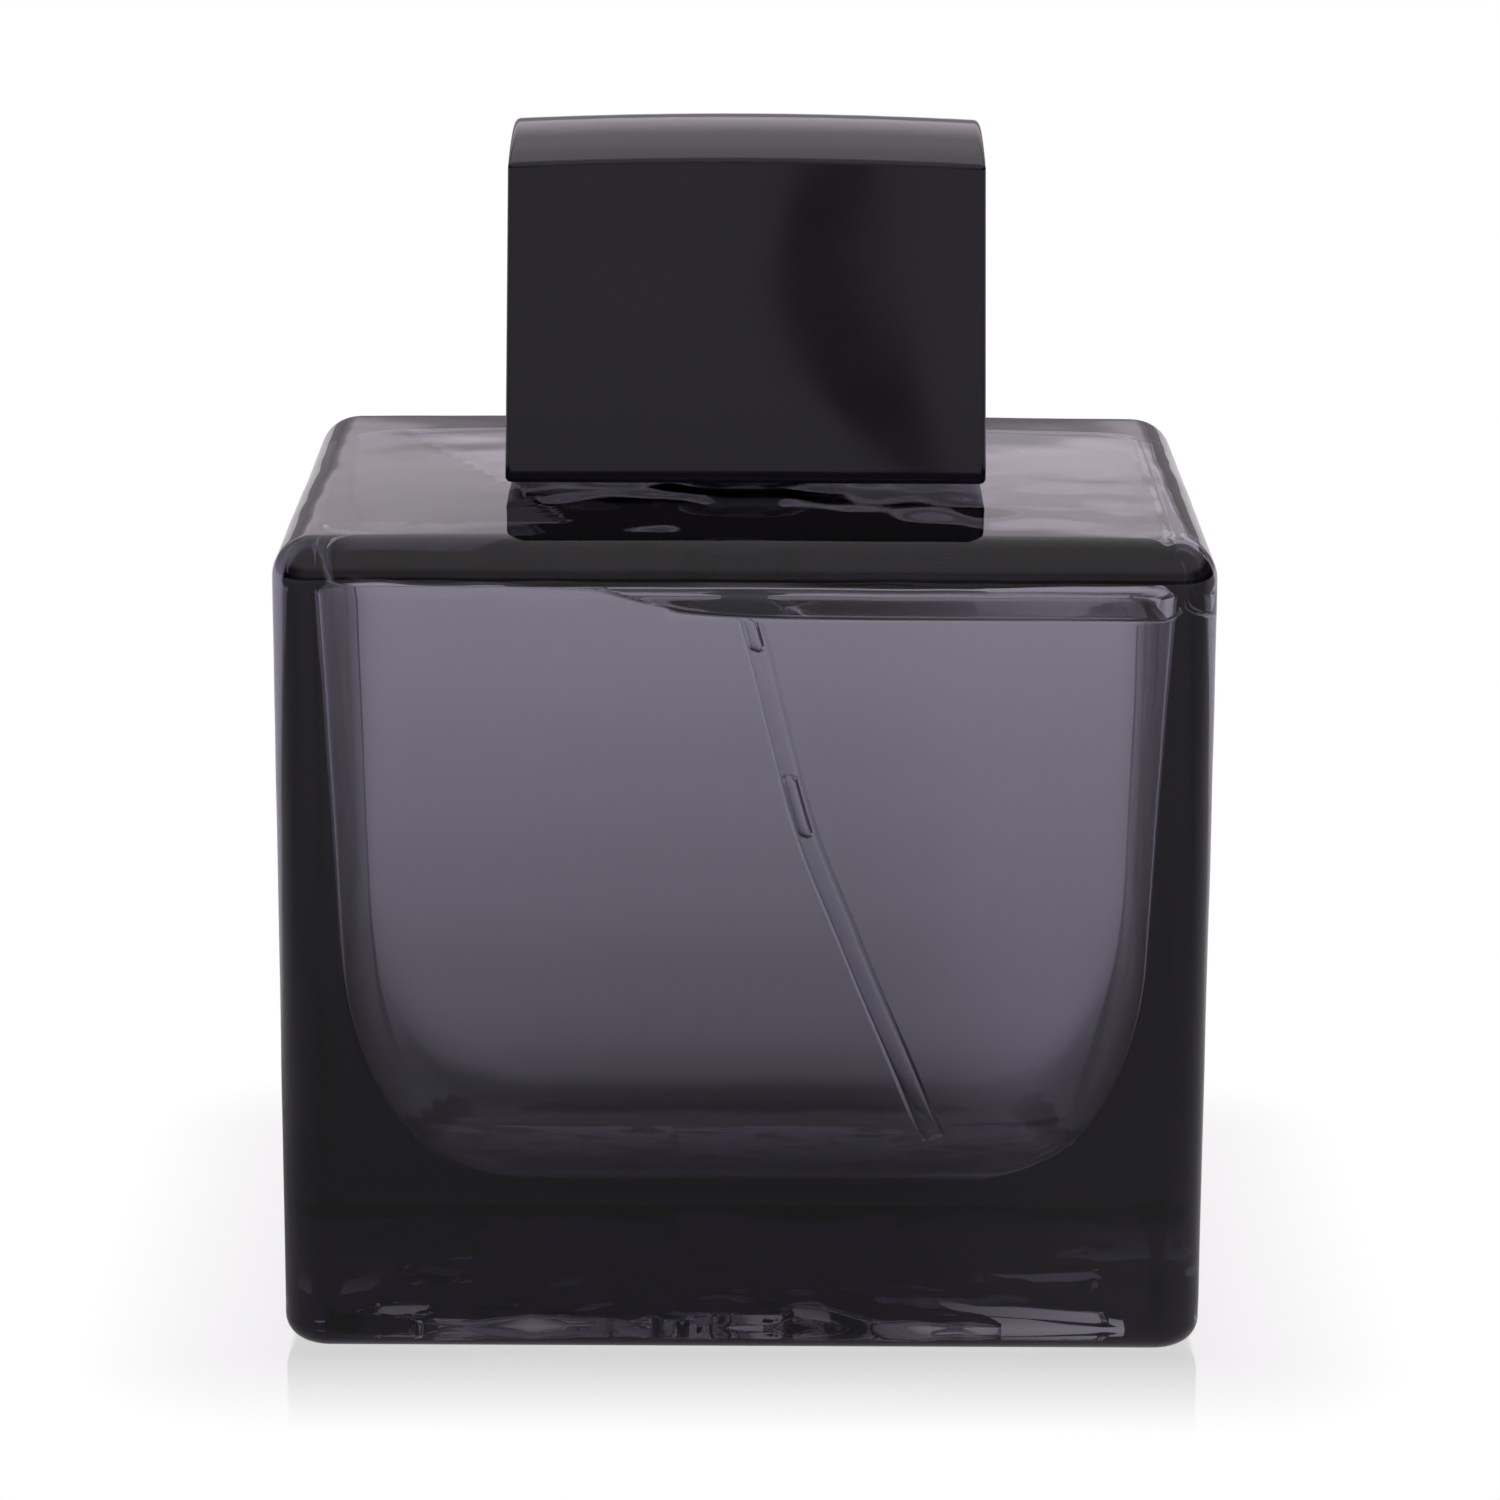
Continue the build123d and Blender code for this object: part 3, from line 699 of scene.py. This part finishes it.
class Studio(Shader):
    """Material of a surface that gives off light of its own by place."""

    def over_table(self, value, low, high, stops, smooth=True):
        """Grey level from (place, level) stops, with places in millimetres."""
        return self.ramp(value, low * MM, high * MM, [(a * MM, b) for a, b in stops], smooth)

    def beyond(self, value, half):
        """How far out of a box this wide a place is, in metres."""
        past = self.maths("SUBTRACT", self.maths("ABSOLUTE", value), half * MM)
        return self.maths("MAXIMUM", past)

    def dark_card(self, x, y):
        """Colour of the card, with the room's tint all round it."""
        across, along = (
            self.maths("DIVIDE", self.maths("SUBTRACT", value, centre * MM), reach * MM)
            for value, centre, reach in zip((x, y), CARD_PLACE, CARD_REACH))
        oval = self.ramp(self.length(across, along), 0.0, 2.0, CARD_FADE)
        edge = self.over_table(x, 0, CARD_SIDE, [(CARD_EDGE, 0.0), (CARD_EDGE + CARD_EDGE_W, 1.0)])
        return self.mix(self.maths("MAXIMUM", oval, edge), CARD_COLOUR, ROOM_TINT)

    def blend(self, share, a, b):
        made = self.node("ShaderNodeMixShader")
        for source, target in zip((share, a, b), made.inputs):
            self.link(source, target)
        return made.outputs["Shader"]

    def glow(self, colour):
        made = self.node("ShaderNodeEmission")
        self.feed(colour, made.inputs["Color"])
        return made.outputs["Emission"]


def table():
    """White glossy table, which mirrors the base of the bottle and is shaded behind it."""
    made = Studio("table")
    split = made.node("ShaderNodeSeparateXYZ")
    made.link(made.node("ShaderNodeNewGeometry").outputs["Position"], split.inputs["Vector"])
    x, y = split.outputs["X"], split.outputs["Y"]
    shade = made.over_table(y, TABLE_FRONT, TABLE_BACK, TABLE_LIGHT)
    open_table = made.over_table(y, TABLE_FRONT, TABLE_BACK, OPEN_LIGHT)
    aside = made.over_table(x, -TABLE_SIDE, TABLE_SIDE, ASIDE)
    given = made.mix(1.0, made.mix(aside, shade, open_table), made.dark_card(x, y), "MULTIPLY")
    away = made.length(made.beyond(x, HALF_W), made.beyond(y, HALF_D))
    mirror = made.over_table(away, 0, MIRROR_REACH, [(0, MIRROR_SHARE), (MIRROR_REACH, 0)], False)
    gloss = made.node("ShaderNodeBsdfGlossy", Roughness=TABLE_GLOSS).outputs["BSDF"]
    seen = made.blend(mirror, made.glow(WHITE), gloss)
    straight = made.node("ShaderNodeLightPath").outputs["Is Camera Ray"]
    made.link(made.blend(straight, made.glow(given), seen), made.output.inputs["Surface"])
    mesh = bpy.data.meshes.new("table")
    corners = [(-1, -1), (1, -1), (1, 1), (-1, 1)]
    mesh.from_pydata([(x * TABLE_SIZE, y * TABLE_SIZE, 0) for x, y in corners], [], [(0, 1, 2, 3)])
    mesh.materials.append(made.material)
    obj = bpy.data.objects.new("table", mesh)
    bpy.context.collection.objects.link(obj)


def room():
    """Soft white room: bright behind and overhead, darker at the sides and in front."""
    world = bpy.data.worlds.new("room")
    world.use_nodes = True
    bpy.context.scene.world = world
    made = Nodes(world.node_tree)
    split = made.node("ShaderNodeSeparateXYZ")
    made.link(made.node("ShaderNodeTexCoord").outputs["Generated"], split.inputs["Vector"])
    ahead = made.ramp(split.outputs["Y"], -1, 1, SKY_AHEAD)
    high = made.ramp(split.outputs["Z"], -1, 1, SKY_HIGH)
    low = made.ramp(split.outputs["Z"], -1, 1, SKY_LOW)
    tinted = made.mix(1.0, low, SKY_TINT, "MULTIPLY")
    given = made.mix(1.0, made.mix(high, ahead, SKY_TOP), tinted, "MULTIPLY")
    straight = made.node("ShaderNodeLightPath").outputs["Is Camera Ray"]
    made.link(made.mix(straight, given, WHITE), made.tree.nodes["Background"].inputs["Color"])


def camera():
    data = bpy.data.cameras.new("camera")
    data.sensor_width = 36
    data.lens = CAMERA_LENS
    obj = bpy.data.objects.new("camera", data)
    bpy.context.collection.objects.link(obj)
    obj.matrix_world = (Matrix.Translation(Vector(CAMERA_PLACE) * MM)
                        @ Matrix.Rotation(math.radians(90 - CAMERA_DOWN), 4, "X")
                        @ Matrix.Rotation(CAMERA_ROLL, 4, "Z"))
    return obj


table()
room()
scene = bpy.context.scene
scene.camera = camera()
scene.view_settings.view_transform = "Standard"
scene.cycles.max_bounces = scene.cycles.transmission_bounces = LIGHT_BOUNCES
